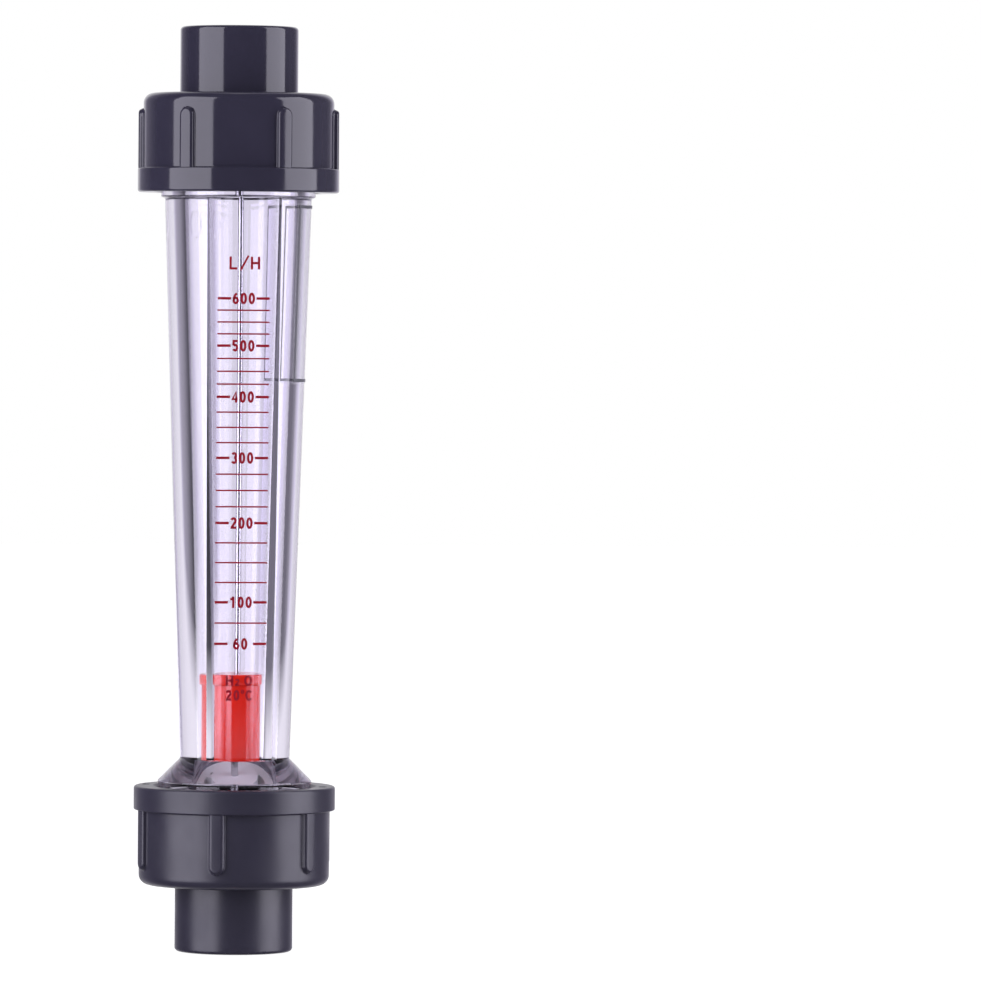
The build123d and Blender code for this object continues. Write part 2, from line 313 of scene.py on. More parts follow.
def flat_distance(z):
    """Distance from the axis to the flat face: its distance at the foot plus its own taper times the
    height."""
    t = settings().tube
    return t.flat + t.flat_taper * (z - flare_top())


# Shapes

def rounded_corner(before, here, after, rounding, arc_steps):
    """Points of a corner's arc, which touches both of its runs: it starts rounding / tan(half the corner's
    angle) before the corner. A corner that is sharp, or nearly straight, stays one point."""
    back, on = before - here, after - here
    back, on = back / np.linalg.norm(back), on / np.linalg.norm(on)
    half = 0.5 * math.acos(max(-1.0, min(1.0, float(back @ on))))
    if rounding <= 0 or half > STRAIGHT:
        return here[None]
    cut = rounding / math.tan(half)
    middle = (back + on) / np.linalg.norm(back + on)
    centre = here + middle * rounding / math.sin(half)
    first, last = here + back * cut - centre, here + on * cut - centre
    share = np.linspace(0, 1, arc_steps + 1)[:, None]
    sweep = math.acos(max(-1.0, min(1.0, float(first @ last) / rounding ** 2)))
    return centre + (np.sin((1 - share) * sweep) * first + np.sin(share * sweep) * last) / math.sin(sweep)


def outline(corners, step, arc_steps=8, closed=True):
    """Outline of (radius, height, rounding) corners, as an array of radius and height. Each straight run is
    divided evenly, no longer than step, or than the corner's own fourth value for the run after it."""
    points = [np.array(c[:2], float) for c in corners]
    stretches = []
    neighbours = zip(points[-1:] + points[:-1], points, points[1:] + points[:1], corners)
    for before, here, after, corner in neighbours:
        ends = not closed and (corner is corners[0] or corner is corners[-1])
        stretches.append(rounded_corner(before, here, after, 0 if ends else corner[2], arc_steps))
    rows = []
    for this, following, corner in zip(stretches, stretches[1:] + stretches[:1], corners):
        rows.append(this)
        if corner is corners[-1] and not closed:
            break
        run = following[0] - this[-1]
        count = max(1, int(math.ceil(np.linalg.norm(run) / (corner[3] if len(corner) > 3 else step))))
        rows.append(this[-1] + run * (np.arange(1, count) / count)[:, None])
    return np.concatenate(rows)


def ring_angles(count):
    """Evenly spaced azimuths, once round."""
    return np.arange(count) * TURN / count


def place(radius, azimuth, height):
    """Points at a radius, azimuth and height: x = r sin a, y = -r cos a, z = height."""
    radius, azimuth, height = np.broadcast_arrays(radius, azimuth, height)
    return np.stack([radius * np.sin(azimuth), -radius * np.cos(azimuth), height], -1)


def turned(corners, step, columns, arc_steps=5):
    """Grid of a rounded closed outline carried once round the axis."""
    profile = outline(corners, step, arc_steps)
    return place(profile[:, :1], ring_angles(columns)[None, :], profile[:, 1:])


def at_end(grid, upper):
    """The same grid, with heights counted from its own end."""
    grid = grid.copy()
    grid[..., 2] = level(grid[..., 2], upper)
    return grid


def enclosed_volume(grid):
    """Signed volume of a closed grid: a sixth of the sum of a . (b x c) over the triangles of its quads."""
    a, b = grid, np.roll(grid, -1, 1)
    c, d = np.roll(b, -1, 0), np.roll(a, -1, 0)
    return float((a * np.cross(b, c)).sum() + (a * np.cross(c, d)).sum()) / 6


def grid_faces(rows, columns):
    """Corner numbers of the quads of a grid that wraps round both ways."""
    i, j = np.indices((rows, columns))
    i2, j2 = (i + 1) % rows, (j + 1) % columns
    corners = [i * columns + j, i * columns + j2, i2 * columns + j2, i2 * columns + j]
    return np.stack(corners, -1).reshape(-1, 4)


def mesh_from(name, vertices, faces, sharp):
    """Mesh of points and quads, smooth but for edges sharper than an angle. Doubled points are merged."""
    mesh = bpy.data.meshes.new(name)
    mesh.vertices.add(len(vertices))
    mesh.vertices.foreach_set("co", np.ascontiguousarray(vertices, np.float32).ravel())
    mesh.loops.add(faces.size)
    mesh.loops.foreach_set("vertex_index", np.ascontiguousarray(faces, np.int32).ravel())
    mesh.polygons.add(len(faces))
    mesh.polygons.foreach_set("loop_start", np.arange(len(faces), dtype=np.int32) * faces.shape[1])
    mesh.update(calc_edges=True)
    work = bmesh.new()
    work.from_mesh(mesh)
    bmesh.ops.remove_doubles(work, verts=work.verts, dist=WELD)
    bmesh.ops.dissolve_degenerate(work, edges=work.edges, dist=SLIVER)
    work.to_mesh(mesh)
    work.free()
    mesh.validate()
    mesh.polygons.foreach_set("use_smooth", np.ones(len(mesh.polygons), bool))
    mesh.set_sharp_from_angle(angle=math.radians(sharp))
    return mesh


def piece(name, grids, material, body, replaced=(), sharp=30.0):
    """One object of one or more closed grids, with its material, body and the CAD nodes it stands
    for. A grid that is inside out is turned."""
    vertices, faces, start = [], [], 0
    for grid in grids:
        if enclosed_volume(grid) < 0:
            grid = grid[:, ::-1]
        vertices.append(grid.reshape(-1, 3))
        faces.append(grid_faces(*grid.shape[:2]) + start)
        start += grid.shape[0] * grid.shape[1]
    mesh = mesh_from(name, np.concatenate(vertices), np.concatenate(faces), sharp)
    mesh.materials.append(material)
    made = bpy.data.objects.new(name, mesh)
    bpy.context.scene.collection.objects.link(made)
    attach(made, body)
    if replaced:
        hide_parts(*replaced)
    return made


def dress(name, finish):
    """Gives a CAD node's own mesh a finish."""
    materials = frame["nodes"][name].data.materials
    materials.clear()
    materials.append(finish_of(finish))


# Finishes

def feed(tree, made, inputs):
    """Gives each input of a node a value or, from another node's output, a link."""
    for key, value in inputs.items():
        if isinstance(value, bpy.types.NodeSocket):
            tree.links.new(value, made.inputs[key])
        else:
            made.inputs[key].default_value = value
    return made


def node(tree, kind, inputs, **options):
    """A new node with its options set and its inputs fed."""
    made = tree.nodes.new(kind)
    for key, value in options.items():
        setattr(made, key, value)
    return feed(tree, made, inputs)


def shader_nodes(name):
    """A new node material: its tree, its main shader and its output."""
    material = bpy.data.materials.new(name)
    material.use_nodes = True
    tree = material.node_tree
    tree.nodes.clear()
    output = tree.nodes.new("ShaderNodeOutputMaterial")
    main = tree.nodes.new("ShaderNodeBsdfPrincipled")
    tree.links.new(main.outputs["BSDF"], output.inputs["Surface"])
    return material, tree, main, output


def own_place(tree):
    """The object's own coordinates, in metres."""
    return tree.nodes.new("ShaderNodeTexCoord").outputs["Object"]


def apart(tree, vector):
    """A vector's X, Y and Z."""
    return node(tree, "ShaderNodeSeparateXYZ", {"Vector": vector}).outputs


def span(tree, vector):
    """A vector's length."""
    return node(tree, "ShaderNodeVectorMath", {0: vector}, operation="LENGTH").outputs["Value"]


def maths(tree, operation, first, second):
    """The result of a sum on two values."""
    return node(tree, "ShaderNodeMath", {0: first, 1: second}, operation=operation).outputs["Value"]


def limits(tree, value, start, end, low=0.0, high=1.0):
    """A value's run from start to end carried to low and high."""
    inputs = {"Value": value, "From Min": start, "From Max": end, "To Min": low, "To Max": high}
    return node(tree, "ShaderNodeMapRange", inputs).outputs["Result"]


def mixed(tree, share, first, second):
    """A shader that goes from the first to the second with a share."""
    return node(tree, "ShaderNodeMixShader", {"Fac": share, 1: first, 2: second}).outputs["Shader"]


def noise(tree, scale, detail=3.0, stretch=(1.0, 1.0, 1.0)):
    """Noise on the object's own coordinates, stretched per axis."""
    here = node(tree, "ShaderNodeMapping", {"Vector": own_place(tree), "Scale": stretch})
    inputs = {"Vector": here.outputs["Vector"], "Scale": scale, "Detail": detail}
    return node(tree, "ShaderNodeTexNoise", inputs).outputs["Fac"]


def spread(tree, value, low, high):
    """A noise value's middle range carried to low and high."""
    return limits(tree, value, NOISE_LOW, NOISE_HIGH, low, high)


def two_tones(tree, value, tone, shift):
    """A colour that goes with a noise value from a bit darker to a bit lighter than the tone."""
    ramp = node(tree, "ShaderNodeValToRGB", {"Fac": value})
    dark, light = ramp.color_ramp.elements
    dark.position, light.position = NOISE_LOW, NOISE_HIGH
    dark.color = (*[c * (1 - shift) for c in tone], 1)
    light.color = (*[min(1.0, c * (1 + shift)) for c in tone], 1)
    return ramp.outputs["Color"]


def bumps(tree, value, strength, distance):
    """Bump from a value."""
    inputs = {"Height": value, "Strength": strength, "Distance": distance}
    return node(tree, "ShaderNodeBump", inputs).outputs["Normal"]


def moulded_plastic(name, tone, low_roughness, high_roughness, shift=0.08, texture=0.12, grain=2200.0):
    """Moulded plastic: slow tone changes, uneven gloss and a very fine moulded skin."""
    material, tree, main, output = shader_nodes(name)
    feed(tree, main, {
        "Base Color": two_tones(tree, noise(tree, 70.0, 4.0), tone, shift),
        "Roughness": spread(tree, noise(tree, 160.0, 5.0), low_roughness, high_roughness),
        "Normal": bumps(tree, noise(tree, grain, 2.0), texture, SKIN_DEPTH),
        "IOR": 1.5,
    })
    return material


def drawn_steel(name, tone):
    """Drawn steel: fine lines along the axis, in tone, gloss and height."""
    material, tree, main, output = shader_nodes(name)
    lines = noise(tree, 900.0, 4.0, (1.0, 1.0, 0.03))
    feed(tree, main, {
        "Base Color": two_tones(tree, lines, tone, 0.12),
        "Roughness": spread(tree, lines, 0.14, 0.3),
        "Normal": bumps(tree, lines, 0.2, SKIN_DEPTH),
        "Metallic": 1.0,
    })
    return material


def thread_skin(tree):
    """Clearness of the moulding: its two threads, outside the neck's radius and behind the nuts' mouths,
    have a finely frosted skin."""
    t, s = settings().tube, settings().stack
    here = own_place(tree)
    sideways = node(tree, "ShaderNodeVectorMath", {0: here, 1: (1, 1, 0)}, operation="MULTIPLY")
    away = span(tree, sideways.outputs["Vector"])
    outside = limits(tree, away, t.neck - 0.6 * MM, t.neck - 0.5 * MM)
    height = apart(tree, here)["Z"]
    inward = maths(tree, "MINIMUM", height, limits(tree, height, 0, s.overall, s.overall, 0))
    behind_neck = limits(tree, inward, thread_end(), thread_end() - 0.2 * MM)
    return limits(tree, maths(tree, "MULTIPLY", outside, behind_neck), 0, 1, 1, 0.6)


def clear_plastic(name, tone, index, roughness, waviness):
    """Clear moulded plastic: slight tint and faint flow waves. The light of lamps passes through it."""
    material, tree, main, output = shader_nodes(name)
    waves = noise(tree, 55.0, 1.0, (1.0, 1.0, 0.35))
    feed(tree, main, {
        "Base Color": two_tones(tree, waves, tone, 0.006),
        "Normal": bumps(tree, waves, waviness, 0.0004),
        "Roughness": roughness,
        "IOR": index,
        "Transmission Weight": thread_skin(tree),
    })
    path = tree.nodes.new("ShaderNodeLightPath").outputs
    lamp_light = maths(tree, "MAXIMUM", path["Is Shadow Ray"], path["Is Diffuse Ray"])
    passing = node(tree, "ShaderNodeBsdfTransparent", {"Color": (*[c ** 0.5 * 0.97 for c in tone], 1)})
    surface = mixed(tree, lamp_light, main.outputs["BSDF"], passing.outputs["BSDF"])
    tree.links.new(surface, output.inputs["Surface"])
    return material


def clear_film(name, tone):
    """Clear film: it covers only a small share of what lies under it, with a soft uneven gloss."""
    material, tree, main, output = shader_nodes(name)
    feed(tree, main, {
        "Base Color": two_tones(tree, noise(tree, 90.0, 2.0), tone, 0.03),
        "Roughness": spread(tree, noise(tree, 240.0, 3.0), 0.05, 0.16),
        "Alpha": 0.04,
    })
    return material


def finish_of(key):
    """The finish of that name, made on first use. The frame's own materials keep names of their own."""
    tones = settings().finish
    name = "finish_" + key
    makers = {
        "pvc_polished": lambda: moulded_plastic(name, tones.pvc, 0.07, 0.13),
        "pvc_satin": lambda: moulded_plastic(name, tones.pvc, 0.3, 0.4),
        "clear_tube": lambda: clear_plastic(name, tones.clear, 1.49, 0.0, 0.02),
        "label_film": lambda: clear_film(name, tones.film),
        "float_red": lambda: moulded_plastic(name, tones.red, 0.1, 0.18, 0.05),
        "stop_white": lambda: moulded_plastic(name, tones.white, 0.3, 0.45, 0.04),
        "steel": lambda: drawn_steel(name, tones.steel),
        "rubber": lambda: moulded_plastic(name, tones.rubber, 0.45, 0.65, 0.2, 0.5, 1500.0),
        "scale_ink": lambda: moulded_plastic(name, tones.ink, 0.28, 0.4, 0.06),
        "frame_ink": lambda: moulded_plastic(name, tones.frame, 0.4, 0.55, 0.08),
    }
    return bpy.data.materials.get(name) or makers[key]()


# Pieces

def thread_wave(height, azimuth, pitch):
    """Triangle wave from -1 to 1 along a right-handed helix: its phase is height / pitch - turn / full
    turn."""
    phase = np.mod(height / pitch - (azimuth - math.pi / 2) / TURN, 1.0)
    return 1.0 - 4.0 * np.abs(phase - 0.5)


def ease(value, low, high):
    """0 below low, 1 above high, and 3t2 - 2t3 between."""
    t = np.clip((value - low) / (high - low), 0, 1)
    return t * t * (3 - 2 * t)


def off_nearest(azimuth, spacing):
    """Angle from the nearest of evenly spaced places, the first at 0: the remainder of the azimuth and half
    a spacing over the spacing, less that half."""
    return np.mod(azimuth + spacing / 2, spacing) - spacing / 2


def nut_azimuths(turn):
    """Azimuths round a nut, from a rib's own: even steps over a rib and closer ones at its edges, in half
    rib widths over the wall's radius, and even steps from there to the next rib."""
    n = settings().nut
    edge = np.linspace(0.8, 1.12, 9)
    near = np.concatenate([np.linspace(-1.5, 1.5, 31), edge, -edge]) * n.rib_width / 2
    near = np.unique(np.round(near, 7)) / n.body
    spacing = TURN / n.ribs
    between = np.linspace(near[-1], spacing + near[0], 27)[1:-1]
    starts = np.arange(n.ribs)[:, None] * spacing
    return turn + (starts + np.concatenate([near, between])).ravel()[None, :]


def rib_rise(across, height):
    """Height of a grip rib, a bar with round ends, above the nut's wall. With d the depth inside the bar's
    outline, it is f - sqrt(f2 - (d + f)2) outside, for the fillet f, and h - r + sqrt(r2 - (r - d)2)
    inside, for the rib's height h and rounding r."""
    n, s = settings().nut, settings().stack
    half, fillet, rounding = n.rib_width / 2, 0.3 * MM, n.rib_round
    start = s.stub + n.rib_setback + half
    end = nut_mouth() - n.ring_height + half
    depth = half - np.hypot(across, height - np.clip(height, start, end))
    outside = fillet - np.sqrt(np.maximum(0, fillet ** 2 - np.clip(depth + fillet, 0, fillet) ** 2))
    short = rounding - np.clip(depth, 0, rounding)
    inside = n.rib_height - rounding + np.sqrt(np.maximum(0, rounding ** 2 - short ** 2))
    return np.where(depth > 0, np.maximum(inside, fillet), outside)


def nut_grid(upper, turn):
    """Union nut: its profile is carried round the axis, and ribs, thread and pin holes shift it. The inner
    wall has a helical thread, and the ring's face has four round holes for a pin."""
    n, t, s = settings().nut, settings().tube, settings().stack
    mouth, ring_edge, floor = nut_mouth(), nut_mouth() - n.ring_height, s.stub + s.nut_floor
    bore = t.thread + 0.05 * MM
    profile = outline([
        (n.hole, s.stub, 0.25 * MM), (n.body, s.stub, n.corner), (n.body, ring_edge, 0.25 * MM),
        (n.ring, ring_edge, 0.3 * MM), (n.ring, mouth, 0.6 * MM),
        (bore + t.thread_depth + 0.15 * MM, mouth, 0.15 * MM), (bore, mouth - 0.55 * MM, 0),
        (bore, floor, 0), (n.hole, floor, 0.2 * MM),
    ], 0.22 * MM)
    radius, height = profile[:, :1], profile[:, 1:]
    azimuth = nut_azimuths(turn)
    rib = rib_rise(off_nearest(azimuth - turn, TURN / n.ribs) * n.body, height)
    below_ring = (height > s.stub + n.corner * 0.9) & (height < ring_edge + TINY)
    on_wall = (radius > n.body - 0.1 * MM) & below_ring
    at_ring = ease(radius, n.ring - 1.0 * MM, n.ring - 0.2 * MM)
    outer = radius + np.where(on_wall, rib, 0) * (1 - at_ring)
    past_wall = on_wall & (radius > n.body + 0.01 * MM)
    outer = np.where(past_wall, np.maximum(radius, np.minimum(outer, n.body + rib)), outer)
    start = floor + 1.5 * MM
    fade = ease(height, start, start + 1.0 * MM) * (1 - ease(height, mouth - 1.4 * MM, mouth - 0.6 * MM))
    wave = thread_wave(level(height, upper), azimuth, t.pitch)
    in_thread = (np.abs(radius - bore) < 0.01 * MM) & (height > start)
    outer = np.where(in_thread, outer + t.thread_depth * fade * wave, outer)
    off_hole = off_nearest(azimuth - turn, TURN / 4) * n.pin_circle
    hole = 1 - ease(np.hypot(off_hole, outer - n.pin_circle), n.pin_hole * 0.88, n.pin_hole * 1.06)
    on_face = np.abs(height - mouth) < TINY
    return place(outer, azimuth, level(height - np.where(on_face, hole * n.pin_depth, 0), upper))


class FLOWMETER_OT_union_nuts(bpy.types.Operator):
    """Make the two ribbed union nuts"""
    bl_idname = "flowmeter.union_nuts"
    bl_label = "Union nuts"

    def execute(self, context):
        n = settings().nut
        piece("upper_nut_piece", [nut_grid(True, n.upper_turn)], finish_of("pvc_polished"), "upper_nut",
              ["upper_union_nut"], 50)
        piece("lower_nut_piece", [nut_grid(False, n.lower_turn)], finish_of("pvc_satin"), "lower_nut",
              ["lower_union_nut"], 50)
        return {"FINISHED"}


def socket_grid(upper):
    """Pipe socket: its profile carried round the axis."""
    k, s = settings().socket, settings().stack
    start, end = s.stub + s.nut_floor + s.face_gap, flange_end()
    groove = end - k.groove
    groove_out, groove_in = k.seal_circle + 1.1 * MM, k.seal_circle - 1.1 * MM
    return at_end(turned([
        (k.bore + 0.9 * MM, 0, 0.3 * MM), (k.outside, 0, k.rim_round * 0.8), (k.outside, start, 0.2 * MM),
        (k.flange, start, 0.3 * MM), (k.flange, end, 0.3 * MM), (groove_out, end, 0.15 * MM),
        (groove_out, groove, 0.2 * MM), (groove_in, groove, 0.2 * MM), (groove_in, end, 0.15 * MM),
        (k.passage, end, 0.3 * MM), (k.passage, k.depth, 0.3 * MM), (k.bore, k.depth, 0.2 * MM),
        (k.bore, 0.9 * MM, 0.2 * MM),
    ], 1.2 * MM, 256, 6), upper)


class FLOWMETER_OT_pipe_sockets(bpy.types.Operator):
    """Make the two pipe sockets and their seal rings"""
    bl_idname = "flowmeter.pipe_sockets"
    bl_label = "Pipe sockets"

    def execute(self, context):
        k = settings().socket
        around = ring_angles(40)[:, None]
        for end, upper, finish in (("upper", True, "pvc_polished"), ("lower", False, "pvc_satin")):
            body = f"{end}_socket"
            piece(f"{end}_socket_piece", [socket_grid(upper)], finish_of(finish), body,
                  [f"{end}_pipe_socket"])
            height = flange_end() - k.groove + k.seal * (1 + np.sin(around))
            radius = k.seal_circle + k.seal * np.cos(around)
            ring = place(radius, ring_angles(180)[None, :], level(height, upper))
            piece(f"{end}_seal_piece", [ring], finish_of("rubber"), body,
                  [f"{end}_seal_ring"])
        return {"FINISHED"}


def tube_wall():
    """Rows of the tube's outer wall, from the lower end's seat to the upper one's, as radius and height."""
    t = settings().tube
    foot, shoulder = flare_top(), top_shoulder()
    low_end, low_thread = tube_end(), thread_end()
    high_end, high_thread = level(low_end, True), level(low_thread, True)
    lower = outline([
        (t.seat, low_end, 0, 1.5 * MM), (t.thread - 0.4 * MM, low_end, 0),
        (t.thread, low_end + 0.5 * MM, 0), (t.thread, low_thread, 0),
        (t.neck - t.undercut, low_thread + 0.3 * MM, 0), (t.neck, neck_end(), t.lip_round),
        (t.radius, foot, 0),
    ], 0.3 * MM, 6, False)
    body_heights = np.unique(np.concatenate([
        np.linspace(foot + TINY, shoulder - t.collar_fillet, 60),
        shoulder - t.mark_drop + np.linspace(-1.3, 1.3, 27) * t.mark,
    ]))
    body = np.stack([tube_radius(body_heights), body_heights], -1)
    fillet_foot = shoulder - 2 * t.collar_fillet
    above = outline([
        (tube_radius(fillet_foot), fillet_foot, 0), (tube_radius(shoulder), shoulder, t.collar_fillet),
        (t.neck, shoulder, t.lip_round), (t.neck, high_thread - 0.3 * MM, 0), (t.thread, high_thread, 0),
        (t.thread, high_end - 0.5 * MM, 0), (t.thread - 0.4 * MM, high_end, 0, 1.5 * MM),
        (t.seat, high_end, 0),
    ], 0.3 * MM, 6, False)
    above = above[above[:, 1] > shoulder - t.collar_fillet + TINY / 10]
    return np.concatenate([lower, body, above])


def tube_inside():
    """Rows of the tube's inside, from the upper stop's seat down the bore, throat and chamber, as radius
    and height."""
    t = settings().tube
    low_end, throat = tube_end(), flare_top() - t.throat_drop
    high_end = level(low_end, True)
    high_seat, low_seat = high_end - t.seat_depth, low_end + t.seat_depth
    return outline([
        (t.seat, high_end, 0), (t.seat, high_seat, 0),
        (tube_radius(high_seat) - t.wall, high_seat, 0, 3 * MM),
        (t.throat, throat, 0, 0.4 * MM), (t.cavity, throat, 0), (t.cavity, low_seat, 0),
        (t.seat, low_seat, 0), (t.seat, low_end, 0),
    ], 1.5 * MM, 6, False)[1:-1]


def tube_relief(radius, height, azimuth):
    """How far thread, gate mark and mould seam shift the outer wall. The thread's wave fades in and out at
    either end, the mark is a shallow round recess, and the seam is a ridge that falls off as exp(-d2), with
    d the distance from it over its own width."""
    t, s = settings().tube, settings().stack
    foot, shoulder = flare_top(), top_shoulder()
    inward = np.minimum(height, s.overall - height)
    start, end = tube_end(), thread_end()
    fade = ease(inward, start + 0.3 * MM, start + 1.2 * MM)
    fade = fade * (1 - ease(inward, end - 1.0 * MM, end - 0.1 * MM))
    thread = t.thread_depth * fade * thread_wave(height, azimuth, t.pitch)
    turn = off_nearest(azimuth, TURN)
    along = (turn - t.mark_turn) * tube_radius(np.clip(height, foot, shoulder))
    off_mark = np.hypot(along, height - (shoulder - t.mark_drop))
    on_body = (height > foot) & (height < shoulder)
    mark = t.mark_depth * (1 - ease(off_mark, t.mark * 0.95, t.mark * 1.04)) * on_body
    seam_width = 0.14 * MM
    off_seam = np.abs(np.abs(turn) - t.seam_turn) * radius / seam_width
    on_flare = ease(height, end, end + 0.3 * MM) * (1 - ease(height, foot - 0.3 * MM, foot))
    return thread - mark + t.seam * np.exp(-off_seam ** 2) * on_flare


def tube_grid():
    """Clear tube: a closed profile of outer and inner wall, carried round the axis.

    A row of the outer wall is a circle cut by a straight line at the flat face's distance D, so the
    columns that cross the flat run evenly from x = -h to x = h, with h = sqrt(R2 - D2), and the others run
    evenly in angle round the back."""
    t = settings().tube
    foot, shoulder = flare_top(), top_shoulder()
    wall, inner = tube_wall(), tube_inside()
    radius, height = wall[:, :1], wall[:, 1:]
    nearest = np.clip(height, foot, shoulder)
    reference, far = tube_radius(nearest), flat_distance(nearest)
    edge = np.arccos(far / reference)
    flat_steps, round_steps = 28, 252
    across = np.linspace(-1, 1, flat_steps + 1)[None, :-1]
    flat_azimuth = np.arctan2(across * np.sin(edge) * reference, far)
    round_azimuth = edge + (TURN - 2 * edge) * (np.arange(round_steps) / round_steps)[None, :]
    azimuth = np.concatenate([flat_azimuth, round_azimuth], 1)
    full = radius + tube_relief(radius, height, azimuth)
    on_body = (height > foot + TINY / 2) & (height < shoulder + TINY / 2)
    on_flat = on_body & (radius < t.neck - 0.5 * MM)
    flat_columns = np.arange(azimuth.shape[1])[None, :] <= flat_steps
    outside = place(np.where(on_flat & flat_columns, far / np.cos(azimuth), full), azimuth, height)
    inside = place(inner[:, :1], azimuth[:1], inner[:, 1:])
    in_bore = inner[:, 0] < tube_radius(inner[:, 1]) - t.wall + 0.03 * MM
    inside[in_bore, :, 0] += t.bore_offset
    return np.concatenate([outside, inside])


class FLOWMETER_OT_measuring_tube(bpy.types.Operator):
    """Make the clear measuring tube"""
    bl_idname = "flowmeter.measuring_tube"
    bl_label = "Measuring tube"

    def execute(self, context):
        piece("measuring_tube_piece", [tube_grid()], finish_of("clear_tube"), "tube",
              ["measuring_tube"], 20)
        return {"FINISHED"}


def on_face(points, out):
    """Points of the flat face, given across and up: they stand before the axis by the face's distance, the
    ink's gap and their own way out."""
    return np.stack([points[:, 0], -(flat_distance(points[:, 1]) + INK_GAP + out), points[:, 1]], -1)


def bar_on_flat(x_low, x_high, z_low, z_high, ink):
    """Flat bar of ink on the flat face, as a closed grid of four corners per side: two loops that end in
    the bar's middle."""
    loop = np.array([(x_low, z_low), (x_high, z_low), (x_high, z_high), (x_low, z_high)])
    centre = np.broadcast_to(((x_low + x_high) / 2, (z_low + z_high) / 2), loop.shape)
    rows = [(centre, 0.0), (loop, 0.0), (loop, ink), (centre, ink)]
    return np.stack([on_face(points, out) for points, out in rows])


def ribbon(points, width, closed=False):
    """Both edges of a flat stroke: at each point of a path they step half the width to either side, square
    to the bisector of its two runs and divided by the cosine of half their bend, up to a third longer."""
    points = np.array(points, float)
    if closed:
        before, after = np.roll(points, 1, 0), np.roll(points, -1, 0)
    else:
        before = np.concatenate([2 * points[:1] - points[1:2], points[:-1]])
        after = np.concatenate([points[1:], 2 * points[-1:] - points[-2:-1]])
    back, on = points - before, after - points
    back = back / np.linalg.norm(back, axis=1, keepdims=True)
    on = on / np.linalg.norm(on, axis=1, keepdims=True)
    middle = back + on
    middle = middle / np.linalg.norm(middle, axis=1, keepdims=True)
    side = np.stack([-middle[:, 1], middle[:, 0]], -1)
    reach = width / 2 / np.clip((middle * back).sum(1, keepdims=True), 0.75, 1)
    return points - side * reach, points + side * reach


def arc(centre_x, centre_y, radius_x, radius_y, start, end, count=14):
    """Points of an ellipse between two angles in degrees, counted to the left from +x."""
    turn = np.radians(np.linspace(start, end, count))
    return np.stack([centre_x + radius_x * np.cos(turn), centre_y + radius_y * np.sin(turn)], -1)


def glyph(letter):
    """Strokes of a letter or digit in a box as wide as GLYPH_WIDTH and 1 high, each a path through the
    middle of the pen and whether it is closed."""
    w, e = GLYPH_WIDTH, GLYPH_EDGE
    shapes = {
        "0": [(arc(w / 2, 0.5, w / 2 - e, 0.5 - e, 0, 360, 29)[:-1], True)],
        "1": [([(0.06, 0.74), (0.22, 0.80), (0.34, 0.98)], False), ([(0.34, 1.0), (0.34, 0.0)], False)],
        "2": [(np.concatenate([arc(w / 2, 0.7, w / 2 - e, 0.3 - e, 165, -30), [(0.1, 0.09)]]), False),
              ([(0.02, 0.09), (w, 0.09)], False)],
        "3": [(arc(w / 2, 0.72, w / 2 - e - 0.02, 0.28 - e, 155, -90), False),
              (arc(w / 2, 0.29, w / 2 - e, 0.29 - e + 0.02, 90, -155), False)],
        "4": [([(0.40, 0.0), (0.40, 0.93), (0.07, 0.30), (w + 0.02, 0.30)], False)],
        "5": [([(w - 0.03, 0.91), (0.13, 0.91), (0.10, 0.52)], False),
              (arc(w / 2 - 0.01, 0.33, w / 2 - e, 0.33 - e, 140, -150), False)],
        "6": [(arc(w / 2, 0.32, w / 2 - e, 0.32 - e, 0, 360, 25)[:-1], True),
              (arc(0.43, 0.32, 0.43 - e, 0.68 - e, 180, 95), False)],
        "L": [([(0.09, 1.0), (0.09, 0.07), (w, 0.07)], False)],
        "/": [([(0.0, -0.08), (w, 1.08)], False)],
        "H": [([(0.08, 0.0), (0.08, 1.0)], False), ([(w - 0.02, 0.0), (w - 0.02, 1.0)], False),
              ([(0.08, 0.5), (w - 0.02, 0.5)], False)],
        "O": [(arc(0.31, 0.5, 0.31 - e, 0.5 - e, 0, 360, 29)[:-1], True)],
        "C": [(arc(0.31, 0.5, 0.31 - e, 0.5 - e, 42, 318, 24), False)],
        "o": [(arc(0.2, 0.5, 0.3, 0.4, 0, 360, 15)[:-1], True)],
    }
    return shapes[letter]


def lettering(text, left, step, low, high, pen, ink, narrow=1.0):
    """Closed grids of a word on the flat face. Each letter's box is as high as the word and starts one step
    after the last, and each stroke is a thin slab between the face and the ink's surface."""
    size = high - low
    grids = []
    for number, letter in enumerate(text):
        for path, closed in glyph(letter):
            path = np.array(path, float) * (size * narrow, size) + (left + number * step, low)
            one, other = ribbon(path, pen, closed)
            section = [(one, 0.0), (other, 0.0), (other, ink), (one, ink)]
            grid = np.stack([on_face(points, out) for points, out in section], 1)
            if not closed:
                first, last = grid[:1].mean(1, keepdims=True), grid[-1:].mean(1, keepdims=True)
                grid = np.concatenate([np.repeat(first, 4, 1), grid, np.repeat(last, 4, 1)])
            grids.append(grid)
    return grids


# Flow in litres an hour and its height in millimetres
SCALE_HEIGHTS = ((600, 144.57), (500, 134.17), (400, 122.91), (300, 109.49), (200, 95.15), (100, 77.68),
                 (60, 68.51))

